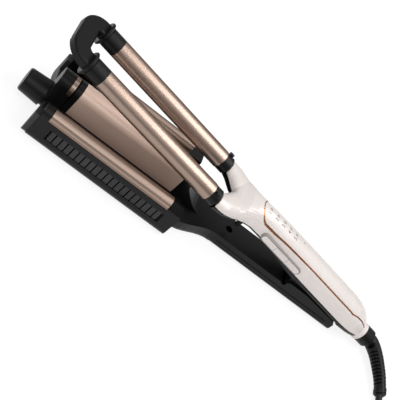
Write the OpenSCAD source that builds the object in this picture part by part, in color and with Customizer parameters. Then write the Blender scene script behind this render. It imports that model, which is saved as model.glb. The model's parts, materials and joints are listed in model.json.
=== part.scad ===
// Hair waver: two heated upper barrels on a forked handle close onto a wide jaw that carries
// two half-round side barrels and a centre barrel, which a dial at the tip raises and lowers.
// The jaw points along -X, the handle along +X and the jaw's flat bottom lies on z = 0.

/* [Opening] */
// Angle between the handle and the jaw's arm, degrees
open_angle = 11.2; // [8:0.1:11.4]
// Height of the hinge pin above the jaw's bottom
hinge_z = 15.5; // [15:0.1:17]
// Diameter of the hinge pin
pin_d = 5; // [4:0.1:6]

/* [Upper barrels] */
// Diameter of each upper barrel
barrel_d = 18; // [16:0.2:19]
// Length of each upper barrel between its collars
barrel_length = 134; // [120:1:140]
// Distance between the two upper barrel axes
barrel_spacing = 44.4; // [43:0.2:47]
// Distance from the hinge pin to the root end of the upper barrels
barrel_root = 141; // [139:0.2:145]
// Height of the upper barrel axes above the hinge pin, in the handle's own frame
barrel_rise = 12.4; // [12:0.1:13]
// Wall thickness of the heated tubes
tube_wall = 1; // [0.8:0.1:1.4]

/* [Tip bridge] */
// Length of the smooth sleeve of each tip collar
sleeve_length = 13.5; // [10:0.5:15]
// Diameter of the flange on each tip collar
flange_d = 23; // [20:0.5:23.4]
// Width of the bridge's hood
bridge_w = 17; // [14:0.5:18]
// Height of the hood above the barrel axes
bridge_top = 5.5; // [4:0.1:8]
// Radius of the bridge's corners at its centre line
bridge_corner = 12; // [9.6:0.2:13]
// Wall thickness of the bridge's hood
bridge_wall = 1.8; // [1.4:0.1:2.4]

/* [Centre barrel] */
// Width of the centre barrel
centre_w = 20; // [18:0.2:21]
// Height of the centre barrel's round top axis when it is raised
centre_z = 37.1; // [36:0.1:38.5]
// Length of the centre barrel
centre_length = 113.5; // [90:0.5:114]
// Length of the dark ring at the tip end of the centre barrel
ring_length = 5.6; // [3:0.1:5.6]
// How far the centre barrel can be lowered
lift_travel = 9; // [6:0.1:9]

/* [Side barrels] */
// Radius of the half-round side barrels
side_r = 7; // [6:0.1:8]
// Length of the side barrels
side_length = 123; // [100:1:124]
// Height of the side barrel axes
side_z = 31.6; // [30.6:0.1:33]

/* [Jaw] */
// Distance from the hinge pin to the root end face of the jaw
jaw_root = 141.6; // [141:0.2:145]
// Length of the jaw
jaw_length = 145.4; // [145:0.2:150]
// Height of the valley floor between the barrels
valley_z = 18; // [17:0.1:18.4]
// Radius of the jaw's lower edges
jaw_corner = 8; // [4:0.5:9]
// Wall thickness of the jaw's shell
jaw_wall = 2.2; // [1.8:0.1:2.6]
// Number of grooves in each cooling grille
slot_count = 21; // [11:1:23]
// Height of the cooling grilles
slot_height = 12; // [6:0.5:13]
// Width of each groove
slot_w = 1.2; // [0.8:0.1:2]
// Length of the cooling grilles
vent_length = 119; // [80:1:120]
// Distance from the hinge pin to the root end of the grilles
vent_root = 153.8; // [152:0.1:158]

/* [Arm] */
// Width of the arm
arm_w = 30; // [29:0.5:32]
// Height of the arm's flat top
arm_top = 15.3; // [14.5:0.1:15.4]
// Length of the arm behind the hinge pin
tail_length = 45; // [40:0.5:46]
// Wall thickness of the arm
arm_wall = 2.4; // [2:0.1:2.6]
// Length over which the arm widens into the jaw
shoulder_length = 43.6; // [30:0.5:50]

/* [Dial] */
// Diameter of the dial
dial_d = 25; // [20:0.5:25]
// Length of the dial
dial_length = 21; // [14:0.5:24]
// Height of the dial's axis
dial_z = 12.8; // [12.7:0.1:13.2]
// Turn of the dial over the whole lift, degrees
dial_turn = 135; // [90:5:180]

/* [Handle] */
// Width of the handle
handle_w = 33.4; // [31:0.2:36]
// Height of the handle's crown above its seam
crown_h = 20.3; // [18:0.1:21.5]
// Depth of the handle below its seam at the hinge
belly_h = 10.9; // [10:0.1:10.9]
// Depth of the handle below its seam at the waist
waist_h = 5; // [4.5:0.1:7]
// Half width of the handle at the waist
waist_hw = 14.4; // [13.6:0.1:16]
// Distance from the hinge pin to the rear end of the handle
handle_rear = 68.5; // [67:0.5:70]
// Wall thickness of the handle's shells
shell_wall = 2; // [1.6:0.1:2.4]
// Width of the inlay on the handle's crown
inlay_w = 25; // [20:0.5:26]
// Distance from the hinge pin to the inlay's rounded front end
inlay_front = 93.6; // [88:0.2:95]
// Half width of the inlay at the handle's rear end
inlay_tail = 7; // [5:0.1:8]
// Width of the inlay's metallic rim
rim_w = 0.9; // [0.8:0.1:2.5]

/* [Buttons] */
// Length of the row of three buttons
button_row = 50; // [40:1:52]
// Height of the buttons
button_h = 6.2; // [5:0.1:7]
// Distance from the hinge pin to the middle of the button row
button_x = 49.5; // [49:0.5:54]
// Travel of each button
button_travel = 0.8; // [0.5:0.1:1]

/* [Cord] */
// Diameter of the mains cord
cord_d = 6.4; // [6:0.1:7]
// Radius of the swivel collar at the rear of the handle
swivel_r = 9.4; // [8.6:0.1:9.6]
// Length of the swivel collar that shows
swivel_length = 12.5; // [8:0.5:13]
// Radius of the cord's round coil at mid-turn
coil_r = 38; // [34:1:40]

/* [Hidden] */

$fn = 72;

// Clearances between pieces
running_fit = 0.05;     // radial play of a shaft in its bore
nest_gap = 0.5;         // between a closed upper barrel and its side barrel
slide_gap = 0.4;        // between sliding walls
touch = 0.02;           // smallest step that keeps two faces apart

// Upper barrels
barrel_r = barrel_d / 2;
barrel_y = barrel_spacing / 2;
barrel_tip = barrel_root + barrel_length;
spigot = 6;
groove_length = 1.7;
groove_depth = 0.9;
flange_length = 2.8;
flange_edge = 0.8;
flange_x = barrel_tip + sleeve_length + groove_length;
bridge_start = flange_x + flange_length;
bridge_hw = bridge_w / 2;
bridge_edge = 3;
bridge_low = 2.6;
bridge_line = bridge_start + 1 + bridge_corner;
bridge_cut = 1.6;
bridge_cut_y = dial_d / 2 + 1.5;

// Side barrels and jaw
side_y = barrel_y + barrel_r + nest_gap + side_r;
lip = 0.7;
side_lip = 0.6;
jaw_hw = side_y + side_r - lip;
valley_hw = side_y - side_r;
seat_z = side_z - 1.2;
jaw_tip = jaw_root + jaw_length;
block_length = 7.6;
block_x = jaw_tip - block_length;
side_tip = block_x - 0.3;
deck_t = 2;
floor_t = 2.3;
slot_z = 11.2;
vent_end_w = 2.4;
vent_depth = 0.6;
vent_back = 1;
vent_margin = 1.5;

// Centre barrel, ring and tower
centre_hw = centre_w / 2;
centre_wall = 1.2;
centre_skirt = 13.5;
tower_x = jaw_tip + 3.4;
tower_back = tower_x - 16;
ring_tip = tower_back - 0.8;
centre_tip = ring_tip - ring_length;
centre_root = centre_tip - centre_length;
slot_hw = centre_hw + slide_gap;
plate_t = 1.5;
plate_depth = 5;
plate_inset = 0.8;
plate_bevel = 1.5;
plate_gap = 3;
trim_w = 4;

// Dial, pinions and racks
pinion_teeth = 10;
dial_x = tower_x + 0.3;
dial_r = dial_d / 2;
dial_taper = 1.3;
dial_edge = 1.2;
shaft_r = 2.4;
pitch_r = lift_travel / (dial_turn * PI / 180);
pitch = 2 * PI * pitch_r / pinion_teeth;
tooth_w = 0.36 * pitch;
addendum = 0.24 * pitch;
dedendum = 0.42 * pitch;
pinion_x = [centre_tip - 18, centre_root + 20];
rack_y = pitch_r + dedendum;
rack_t = 1.6;
wire_r = 0.85;
frame_top = dial_z + lift_travel + pitch_r + addendum + 0.5;
ring_slot_top = dial_z + lift_travel + shaft_r + 0.5;
detent_r = 6;
detent_x = block_x + 2.2;

// Arm
arm_hw = arm_w / 2;
cover_t = 1.5;
cover_rear = 22;
arm_corner = 6.3;
shoulder_hw = arm_hw + 17;
ramp_top = 31.5;
ramp_hw = centre_hw - slide_gap;
ear_in = arm_hw - arm_wall;
ear_front = 18;
ear_top = hinge_z + 5;
bush_r = pin_d / 2 + 1.5;
pin_r = pin_d / 2;
wire_y = 7.65;
arm_screw_r = 1.5;
arm_head_r = 2.8;
arm_head = 1.1;
ridge_w = 1.1;
ridge_z = [4.6, 8.6];
arm_screw_at = [[-137, -20], [-137, 20], [-102, 0], [-32, 0]];

// Handle
handle_hw = handle_w / 2;
seam = barrel_rise;
band_z = 8.8;
band_front = 20;
band_rear = 47.6;
chassis_hw = ear_in - slide_gap;
swivel_z = 12;
swivel_x = handle_rear + 6;
inlay_bend = 44;
inlay_depth = 1;
button_z = seam + 4.3;
button_gap = 0.35;
button_out = handle_hw + 0.3;
bezel_out = handle_hw - 0.2;
bezel_in = handle_hw - 4;
bezel_t = 1.1;
board_z = seam + 2.2;
board_t = 1.6;
collar_r = barrel_r - tube_wall;
collar_length = 10.5;
neck_r = 4;
neck_length = 9;
waist_z = seam - waist_h;
guide_x = 88;
guide_r = 2.2;
ring_points = 40;
belly_z = seam - belly_h;
foot_x = 24;
fork_x = 119;
foot_y = 5;
board_hw = handle_hw - 6.8;
board_front = 96;
board_rear = 30;
core_r = 1.5;

// The handle's origin lies so that the whole tool is centred along X
tail_x = (swivel_x + swivel_length) * cos(open_angle) + (swivel_z + swivel_r) * sin(open_angle);
hinge_x = (dial_x + dial_length - tail_x) / 2;

// Colours
pearl = [0.91, 0.87, 0.84];
rose = [0.82, 0.66, 0.58];
black = [0.13, 0.13, 0.14];
grey = [0.27, 0.27, 0.28];
copper = [0.78, 0.50, 0.38];
steel = [0.75, 0.76, 0.78];
green = [0.10, 0.32, 0.18];
ceramic = [0.88, 0.86, 0.80];
brass_c = [0.80, 0.64, 0.32];

// ---------- frames and helpers ----------

module lower() {
    translate([hinge_x, 0, 0]) children();
}

module upper() {
    translate([hinge_x, 0, hinge_z]) rotate([0, open_angle, 0]) children();
}

// A profile drawn in (y, z), run along X from x0 to x1
module along_x(x0, x1) {
    translate([x0, 0, 0]) rotate([90, 0, 90]) linear_extrude(x1 - x0) children();
}

// A profile drawn in (x, z), run along Y from y0 to y1
module along_y(y0, y1) {
    translate([0, y1, 0]) rotate([90, 0, 0]) linear_extrude(y1 - y0) children();
}

module rod_x(x0, x1, y, z, r) {
    translate([x0, y, z]) rotate([0, 90, 0]) cylinder(h = x1 - x0, r = r);
}

module cone_x(x0, x1, y, z, r0, r1) {
    translate([x0, y, z]) rotate([0, 90, 0]) cylinder(h = x1 - x0, r1 = r0, r2 = r1);
}

module rod_y(x, y0, y1, z, r) {
    translate([x, y1, z]) rotate([90, 0, 0]) cylinder(h = y1 - y0, r = r);
}

// A box between two opposite corners
module box(a, b) {
    translate(a) cube(b - a);
}

module mirrored_y() {
    children();
    mirror([0, 1, 0]) children();
}

// A (y, z) profile and its mirror image across the centre plane
module both_sides() {
    children();
    mirror([1, 0]) children();
}

// Racetrack of a given length and width, centred
module racetrack(length, width) {
    square([length - width, width], center = true);
    for (s = [-1, 1]) translate([s * (length - width) / 2, 0]) circle(d = width);
}

// A point at angle a on a superellipse of exponent n
function lobe(a, n) = [sign(cos(a)) * pow(abs(cos(a)), 2 / n),
    sign(sin(a)) * pow(abs(sin(a)), 2 / n)];

// A station is [x, y, z, half width, height above z, depth below z, exponent]
function station_ring(s, inset) = [for (i = [0 : ring_points - 1])
    let (p = lobe(360 * i / ring_points, s[6]))
    [s[0], s[1] + (s[3] - inset) * p[0],
        s[2] + ((p[1] > 0 ? s[4] : s[5]) - inset) * p[1]]];

// A smooth solid through a list of stations with rising x
module loft(stations, inset = 0) {
    n = ring_points;
    m = len(stations);
    points = [for (s = stations) each station_ring(s, inset)];
    near_cap = [for (j = [0 : n - 1]) j];
    far_cap = [for (j = [n - 1 : -1 : 0]) (m - 1) * n + j];
    sides = [for (i = [0 : m - 2], j = [0 : n - 1])
        let (k = (j + 1) % n, a = i * n + j, b = i * n + k)
        each [[a, a + n, b + n], [a, b + n, b]]];
    polyhedron(points = points, faces = concat([near_cap], sides, [far_cap]), convexity = 6);
}

// The same stations with the first and last moved inward along X
function shortened(stations, by_front, by_rear) = [for (i = [0 : len(stations) - 1])
    let (s = stations[i], last = len(stations) - 1)
    [s[0] + (i == 0 ? by_front : 0) - (i == last ? by_rear : 0),
        s[1], s[2], s[3], s[4], s[5], s[6]]];

// ---------- handle surfaces, in the handle's own frame ----------

// The rounded saddle between the prongs, and the body behind it
saddle_stations = [
    [-fork_x, 0, seam, barrel_y + 1.8, 3.2, 3, 2.6],
    [-fork_x + 0.6, 0, seam, barrel_y + 3.8, 5.2, 4.6, 2.6],
    [-fork_x + 2, 0, seam, barrel_y + 5.3, 7, 6, 2.6]
];

body_stations = [
    [-fork_x + 4.5, 0, seam, barrel_y + 5.8, 8.7, 6.6, 2.5],
    [-110, 0, seam, barrel_y + 3.6, 10.9, 6, 2.5],
    [-104, 0, seam, waist_hw + 7.5, crown_h - 5.9, waist_h + 0.6, 2.4],
    [-96, 0, seam, waist_hw + 3.2, crown_h - 3.1, waist_h + 0.1, 2.3],
    [-88, 0, seam, waist_hw + 0.4, crown_h - 1.4, waist_h, 2.2],
    [-78, 0, seam, waist_hw, crown_h - 0.5, waist_h, 2.2],
    [-68, 0, seam, handle_hw - 2.2, crown_h - 0.1, waist_h + 0.3, 2.2],
    [-54, 0, seam, handle_hw - 1.3, crown_h, belly_h - 4.1, 2.2],
    [-40, 0, seam, handle_hw - 0.7, crown_h, belly_h - 1.9, 2.2],
    [-28, 0, seam, handle_hw - 0.3, crown_h, belly_h - 0.2, 2.2],
    [-16, 0, seam, handle_hw, crown_h, belly_h, 2.2],
    [40, 0, seam, handle_hw, crown_h, belly_h, 2.2],
    [50, 0, seam, handle_hw - 0.5, crown_h - 0.9, belly_h - 0.8, 2.2],
    [58, 0, seam, handle_hw - 1.8, crown_h - 3.1, belly_h - 1, 2.1],
    [64, 0, seam, handle_hw - 3.9, crown_h - 6.2, belly_h - 1, 2.1],
    [handle_rear, 0, seam, swivel_r + 1.5, swivel_r + 1.6, swivel_r + 0.4, 2]
];

prong_start = barrel_root - collar_length;
prong_stations = [
    [-prong_start, barrel_y + 0.8, seam, 8.5, 6.4, 8.4, 2],
    [-126, barrel_y - 1.4, seam, 10.8, 7, 8.1, 2],
    [-122, barrel_y - 4.2, seam, 12.9, 7.6, 7.8, 2.2],
    [-fork_x, barrel_y - 6.3, seam, 14.3, 8.1, 7.5, 2.4],
    [-114, barrel_y - 8.7, seam, 14.5, 8.7, 6.8, 2.4],
    [-109, barrel_y - 11.2, seam, 14.5, 9.4, 6, 2.4]
];

module handle_outer(inset = 0) {
    whole = inset < shell_wall / 3;
    loft(whole ? shortened(concat(saddle_stations, body_stations), 0, inset)
        : shortened(body_stations, inset, inset), inset);
    mirrored_y() loft(shortened(prong_stations, 0, inset), inset);
}

// The seam between the white shell and the dark housing, seen from the side
seam_line = [[-160, seam + 0.1], [-90, seam + 0.2], [-68, seam + 0.4], [-14, seam + 0.4],
    [90, seam + 0.1]];

module above_seam() {
    along_y(-60, 60) polygon(concat(seam_line, [[90, 60], [-160, 60]]));
}

module below_seam() {
    along_y(-60, 60) polygon(concat(seam_line, [[90, -30], [-160, -30]]));
}

// Plan of the inlay: a rounded front end and sides that close in towards the rear
module inlay_track(grow = 0) {
    r = inlay_w / 2 + grow;
    x0 = inlay_w / 2 - inlay_front;
    x2 = handle_rear - inlay_depth - 0.2;
    y2 = inlay_tail + grow;
    translate([0, 0, seam]) linear_extrude(40) {
        translate([x0, 0]) circle(r = r);
        polygon([[x0, r], [inlay_bend, r], [x2, y2], [x2, -y2], [inlay_bend, -r], [x0, -r]]);
    }
}

module button_track(length, height) {
    translate([-button_x, button_z]) racetrack(length, height);
}

// ---------- handle pieces ----------

bezel_l = button_row + 2 * bezel_t;
bezel_h = button_h + 2 * bezel_t;
window_x = [85.6, 76.4, 67.6, 59.1, 50.7];
small_window_x = 39.8;
window_r = 1.6;
small_window_r = 0.9;

module upper_shell() {
    color(pearl) upper() difference() {
        intersection() {
            difference() {
                handle_outer();
                handle_outer(shell_wall);
            }
            above_seam();
        }
        difference() {
            inlay_track();
            handle_outer(inlay_depth);
        }
        along_y(-40, 0) button_track(bezel_l, bezel_h);
        for (x = window_x) translate([-x, 0, seam]) cylinder(h = 40, r = window_r);
        translate([-small_window_x, 0, seam]) cylinder(h = 40, r = small_window_r);
        rod_x(handle_rear - 6, handle_rear + 6, 0, swivel_z, swivel_r - 2.4);
    }
}

module lower_housing() {
    color(black) upper() {
        difference() {
            intersection() {
                difference() {
                    handle_outer();
                    handle_outer(shell_wall);
                }
                below_seam();
            }
            along_y(-40, 0) button_track(bezel_l, bezel_h);
            box([-band_front, -30, -20], [band_rear, 30, band_z]);
            translate([-guide_x, 0, -10]) cylinder(h = 20, r = guide_r);
            for (s = [-1, 1]) translate([-foot_x, s * foot_y, 0]) {
                cylinder(h = 8, r = 1.2);
                cylinder(h = belly_z + 1.2, r = 2.2);
            }
            rod_x(handle_rear - 6, handle_rear + 6, 0, swivel_z, swivel_r - 2.4);
        }
        // Saddles for the root collars' necks, and pillars for the board
        intersection() {
            handle_outer(shell_wall / 2);
            union() {
                mirrored_y() difference() {
                    box([-129, barrel_y - 3, 0], [-124, barrel_y + 3, seam - 1]);
                    rod_x(-150, -110, barrel_y, seam, neck_r);
                }
                for (x = [-80, -36], s = [-1, 1])
                    translate([x, s * 8, 0]) cylinder(h = board_z, r = 2);
            }
        }
    }
}

module inlay_rim() {
    color(copper) upper() difference() {
        intersection() {
            difference() {
                handle_outer(-0.15);
                handle_outer(inlay_depth);
            }
            inlay_track();
        }
        inlay_track(-rim_w);
    }
}

module inlay_panel() {
    color(pearl) upper() difference() {
        intersection() {
            difference() {
                handle_outer();
                handle_outer(inlay_depth);
            }
            inlay_track(-rim_w);
        }
        for (x = window_x) translate([-x, 0, seam]) cylinder(h = 40, r = window_r);
        translate([-small_window_x, 0, seam]) cylinder(h = 40, r = small_window_r);
    }
}

module indicator_windows() {
    top = seam + crown_h;
    color(ceramic) upper() {
        for (i = [0 : len(window_x) - 1])
            translate([-window_x[i], 0, board_z + board_t])
                cylinder(h = top - board_z - board_t - (i == 0 ? 1.6 : 0.5), r = window_r);
        translate([-small_window_x, 0, board_z + board_t])
            cylinder(h = top - board_z - board_t, r = small_window_r);
    }
}

module button_bezel() {
    color(pearl) upper() along_y(-bezel_out, -bezel_in) difference() {
        button_track(bezel_l, bezel_h);
        button_track(button_row, button_h);
    }
}

// One of the three keys: index -1, 0 or 1 along the row
module key(index) {
    third = button_row / 3;
    upper() {
        along_y(-button_out, -handle_hw + shell_wall + 0.6) intersection() {
            button_track(button_row - 0.4, button_h - 0.4);
            translate([-button_x + index * third, button_z])
                square([third - button_gap, button_h], center = true);
        }
        rod_y(-button_x + index * third, -handle_hw + shell_wall + 0.6,
            -handle_hw + shell_wall + 1.4, button_z, 1.5);
    }
}

module minus_button() {
    color(pearl) key(-1);
}

module power_button() {
    color(pearl) key(0);
}

module plus_button() {
    color(pearl) key(1);
}

module button_board() {
    third = button_row / 3;
    face = -handle_hw + shell_wall + 1.4 + button_travel + 0.1;
    color(green) upper() {
        for (i = [-1 : 1]) rod_y(-button_x + i * third, face, face + 1.2 + touch, button_z, 1.3);
        for (i = [-1 : 1]) translate([-button_x + i * third - 2.2, face + 1.2, button_z - 2.2])
            cube([4.4, 1.2 + touch, 4.4]);
        translate([-button_x - button_row / 2, face + 2.4, board_z + board_t])
            cube([button_row, 1, 6]);
    }
}

module control_board() {
    color(green) upper() {
        box([-board_front, -board_hw, board_z], [board_rear, board_hw, board_z + board_t]);
        translate([-20, -5, board_z + board_t]) cube([12, 10, 5]);
        translate([2, -7, board_z + board_t]) cube([16, 12, 8]);
        for (x = [-33, 24]) translate([x, 4, board_z + board_t]) cylinder(h = 7, r = 3);
    }
}

module hinge_chassis() {
    color(black) upper() difference() {
        union() {
            along_y(-chassis_hw, chassis_hw) polygon([[-19, band_z], [-19, -3.5], [-10, -6.5],
                [8, -6.5], [36, 0.5], [36, band_z]]);
            intersection() {
                union() {
                    box([-band_front + 0.3, -handle_hw + 3, band_z - touch],
                        [band_rear + 4, handle_hw - 3, band_z + 2]);
                    box([-foot_x - 4, -foot_y - 4, belly_z], [-18, foot_y + 4, belly_z + shell_wall + 3]);
                    box([band_rear + 1, -5, belly_z], [band_rear + 4, 5, band_z]);
                }
                handle_outer(shell_wall + touch);
            }
        }
        rod_y(0, -30, 30, 0, pin_r);
        along_y(-chassis_hw + 2, chassis_hw - 2) polygon([[-17, 30], [-17, -2.6], [-9, -5],
            [7, -5], [33, 1.6], [33, 30]]);
        for (s = [-1, 1]) translate([-foot_x, s * foot_y, 0]) cylinder(h = 30, r = 1.2);
    }
    color(black) upper() mirrored_y() difference() {
        rod_y(0, chassis_hw - 5, chassis_hw - 1.9, 0, pin_r + 2.2);
        rod_y(0, 0, 30, 0, pin_r);
    }
}

module hinge_pin() {
    color(steel) upper() rod_y(0, -arm_hw + 1, arm_hw - 1, 0, pin_r);
}

module hinge_spring() {
    wire = 0.8;
    coil = pin_r + 0.3 + wire;
    color(steel) upper() {
        for (i = [-2 : 2]) rotate([90, 0, 0]) translate([0, 0, i * 1.7])
            rotate_extrude() translate([coil, 0]) circle(r = wire, $fn = 16);
        rotate([90, 0, 0]) translate([0, 0, -4.2]) difference() {
            cylinder(h = 8.4, r = coil + 0.3);
            translate([0, 0, -1]) cylinder(h = 11, r = coil - 0.3);
        }
        translate([0, 3.4, coil]) rotate([0, 90, 0]) cylinder(h = 31.5, r = wire, $fn = 16);
        translate([-14.5, -3.4, coil]) rotate([0, 90, 0]) cylinder(h = 14.5, r = wire, $fn = 16);
    }
}

module housing_screws() {
    color(steel) upper() for (s = [-1, 1]) translate([-foot_x, s * foot_y, belly_z + 0.2]) {
        cylinder(h = shell_wall + 2.6, r = 1.2);
        cylinder(h = 1, r = 2.2);
    }
}

module guide_post() {
    foot = waist_z + shell_wall + 0.3;
    color(black) upper() {
        translate([-guide_x, 0, -8]) cylinder(h = foot + 8 + 1.5, r = guide_r);
        translate([-guide_x, 0, foot]) cylinder(h = 1.5, r = guide_r + 1.6);
    }
}

// ---------- upper barrels, side is -1 near and 1 far ----------

module barrel(side) {
    color(rose) upper() difference() {
        rod_x(-barrel_tip, -barrel_root, side * barrel_y, seam, barrel_r);
        rod_x(-barrel_tip - 1, -barrel_root + 1, side * barrel_y, seam, collar_r);
    }
}

module near_barrel() {
    barrel(-1);
}

module far_barrel() {
    barrel(1);
}

// Two clamp shells with the flat heating element between them
module heater(side) {
    h = collar_r * 0.78;
    color(steel) upper() intersection() {
        rod_x(-barrel_tip + spigot + 2, -barrel_root - spigot - 2, side * barrel_y, seam, collar_r);
        union() {
            box([-barrel_tip, side * barrel_y - h, seam - 1.6],
                [-barrel_root, side * barrel_y + h, seam + 1.6]);
            box([-barrel_tip, side * barrel_y - 1.5, seam - collar_r],
                [-barrel_root, side * barrel_y + 1.5, seam + collar_r]);
        }
    }
}

module near_heater() {
    heater(-1);
}

module far_heater() {
    heater(1);
}

module root_collar(side) {
    y = side * barrel_y;
    end_x = -barrel_root + collar_length;
    bevel = 1.8;
    color(black) upper() difference() {
        union() {
            rod_x(-barrel_root - spigot, -barrel_root, y, seam, collar_r);
            rod_x(-barrel_root, end_x - bevel, y, seam, barrel_r - 0.4);
            cone_x(end_x - bevel, end_x, y, seam, barrel_r - 0.4, barrel_r - 0.4 - bevel);
            rod_x(end_x, end_x + neck_length, y, seam, neck_r);
            // Latch on the outer side of the collar's top
            rod_x(-barrel_root + 2, -barrel_root + 6, y + side * 4.9, seam + 8, 1.8);
        }
        rod_x(-barrel_root - spigot - 1, end_x + neck_length + 1, y, seam, neck_r - 1.5);
    }
}

module near_root_collar() {
    root_collar(-1);
}

module far_root_collar() {
    root_collar(1);
}

module tip_collar(side) {
    y = side * barrel_y;
    flange_r = flange_d / 2;
    color(black) upper() difference() {
        union() {
            rod_x(-barrel_tip, -barrel_tip + spigot, y, seam, collar_r);
            rod_x(-barrel_tip - sleeve_length, -barrel_tip, y, seam, barrel_r);
            rod_x(-flange_x, -barrel_tip, y, seam, barrel_r - groove_depth);
            cone_x(-flange_x - flange_edge, -flange_x, y, seam, flange_r, flange_r - flange_edge);
            rod_x(-bridge_start + flange_edge, -flange_x - flange_edge, y, seam, flange_r);
            cone_x(-bridge_start, -bridge_start + flange_edge, y, seam,
                flange_r - flange_edge, flange_r);
        }
        rod_x(-barrel_tip - 5, -barrel_tip + spigot + 1, y, seam, collar_r - 2);
    }
}

module near_tip_collar() {
    tip_collar(-1);
}

module far_tip_collar() {
    tip_collar(1);
}

// Section of the bridge's hood, open at its lower side
module bridge_section(inset, low) {
    hw = bridge_hw - inset;
    top = bridge_top - inset;
    r = bridge_edge - inset;
    for (s = [-1, 1]) translate([s * (hw - r), top - r]) circle(r = r);
    translate([-hw + r, top - r]) square([2 * (hw - r), r]);
    translate([-hw, -low]) square([2 * hw, top - r + low]);
}

// The section swept round the bridge's centre line
module bridge_sweep(inset, low) {
    x = -bridge_line + bridge_corner;
    y = barrel_y - bridge_corner;
    mirrored_y() {
        along_x(x, -bridge_start) translate([barrel_y, 0]) bridge_section(inset, low);
        translate([x, y, 0]) rotate([0, 0, 90]) rotate_extrude(angle = 90)
            translate([bridge_corner, 0]) bridge_section(inset, low);
    }
    along_y(-y, y) translate([-bridge_line, 0]) bridge_section(inset, low);
}

module tip_bridge() {
    color(black) upper() translate([0, 0, seam]) difference() {
        bridge_sweep(0, bridge_low);
        bridge_sweep(bridge_wall, bridge_low + 1);
        box([-bridge_line - 20, -bridge_cut_y, -30],
            [-bridge_start + 6, bridge_cut_y, -bridge_cut]);
    }
}

module bridge_plate() {
    color(grey) upper() translate([0, 0, seam]) intersection() {
        bridge_sweep(bridge_wall + touch, bridge_low);
        box([-bridge_line - 20, -40, -bridge_cut + 0.2], [-bridge_start - 0.3, 40, -bridge_cut + 1.6]);
    }
}

// ---------- rear end, swivel and cord ----------

module end_collar() {
    color(pearl) upper() difference() {
        union() {
            rod_x(handle_rear, swivel_x - 0.3, 0, swivel_z, swivel_r + 0.4);
            rod_x(handle_rear - 5, handle_rear, 0, swivel_z, swivel_r - 2.4);
        }
        rod_x(handle_rear - 6, swivel_x + 1, 0, swivel_z, swivel_r - 4.4);
    }
}

module contact_carrier() {
    color(black) upper() difference() {
        rod_x(handle_rear - 16, handle_rear - 5, 0, swivel_z, swivel_r - 3);
        rod_x(handle_rear - 14, handle_rear - 4, 0, swivel_z, swivel_r - 4.4);
    }
}

module swivel_collar() {
    color(black) upper() difference() {
        union() {
            rod_x(swivel_x, swivel_x + swivel_length - 1.5, 0, swivel_z, swivel_r);
            cone_x(swivel_x + swivel_length - 1.5, swivel_x + swivel_length, 0, swivel_z,
                swivel_r, swivel_r - 1.5);
        }
        rod_x(swivel_x - 1, swivel_x + swivel_length + 1, 0, swivel_z, 3.4);
    }
}

module swivel_shaft() {
    bore = swivel_r - 4.4;
    color(brass_c) upper() difference() {
        union() {
            rod_x(handle_rear - 13, swivel_x, 0, swivel_z, bore - running_fit);
            rod_x(swivel_x, swivel_x + swivel_length - 0.2, 0, swivel_z, 3.4);
        }
        rod_x(handle_rear - 14, swivel_x + swivel_length + 1, 0, swivel_z,
            core_r + 2 * running_fit);
    }
}

// The cord leaves the swivel here, along the handle's axis
exit_dir = [cos(open_angle), 0, -sin(open_angle)];
exit_reach = swivel_x + swivel_length + 0.9;
exit_at = [hinge_x + exit_reach * cos(open_angle) + swivel_z * sin(open_angle), 0,
    hinge_z - exit_reach * sin(open_angle) + swivel_z * cos(open_angle)];

// Centre lines of the strain relief and of the cord, as round numbers for an exit at X = 200
exit_nominal = 200;
cord_shift = [exit_at[0] - exit_nominal, 0, 0];
relief_points = [[205, -2, 9.1], [209, -8, 8.6], [213, -16, 8], [217, -25, 7.4],
    [221, -35, 6.6], [224, -43, 6], [225, -48, 5.6]];
relief_radii = [6.8, 7.2, 7.1, 6.9, 6.6, 6.3, 5.9, 5.6, 5.3];
run_points = [[225, -48, 5.6], [226, -53, 4.7], [227, -58, 3.9], [229, -63, 3.4], [232, -70, 3.3],
    [237, -76, 3.3], [243, -80, 3.3], [250, -83, 3.3], [258, -84, 3.3], [265, -84, 3.3],
    [272, -84, 3.3], [280, -84, 3.3]];
tail_points = [[344.5, -32, 8], [346.5, -26, 6.9], [348.5, -20, 6.4], [349.5, -15, 6.5],
    [350, -10, 6.8]];
coil_centre = [304, -46];
coil_section = 9.7;
plug_at = [350, -10, 6.8];
plug_length = 36;
pin_spacing = 18.6;
pin_reach = 19;

function unit(v) = v / norm(v);

// Direction of a route at point i
function heading(route, i) = unit(route[min(i + 1, len(route) - 1)] - route[max(i - 1, 0)]);

// Ring of n points round a route point, square to the route
function tube_ring(c, d, r, n) = let (a = unit(cross([0, 0, 1], d)), b = cross(d, a))
    [for (j = [0 : n - 1]) c + r * (cos(360 * j / n) * a + sin(360 * j / n) * b)];

// A tube along a route, with one radius for each point
module tube(route, radii, n = 10) {
    m = len(route);
    points = [for (i = [0 : m - 1]) each tube_ring(route[i], heading(route, i), radii[i], n)];
    sides = [for (i = [0 : m - 2], j = [0 : n - 1])
        let (k = (j + 1) % n, a = i * n + j, b = i * n + k)
        each [[a, a + n, b + n], [a, b + n, b]]];
    polyhedron(points = points, faces = concat([[for (j = [0 : n - 1]) j]], sides,
        [[for (j = [n - 1 : -1 : 0]) (m - 1) * n + j]]), convexity = 6);
}

module strain_relief() {
    route = concat([exit_at, exit_at + 2 * exit_dir], [for (p = relief_points) p + cord_shift]);
    color(black) {
        tube(route, relief_radii, 24);
        upper() rod_x(handle_rear - 14, exit_reach + 1, 0, swivel_z, core_r);
    }
}

module cord_run() {
    color(black) translate(cord_shift) tube(run_points, [for (p = run_points) cord_d / 2]);
}

module cord_coil() {
    color(black) translate(cord_shift + [coil_centre[0], coil_centre[1], coil_section])
        rotate_extrude() translate([coil_r, 0]) circle(r = coil_section);
}

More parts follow.
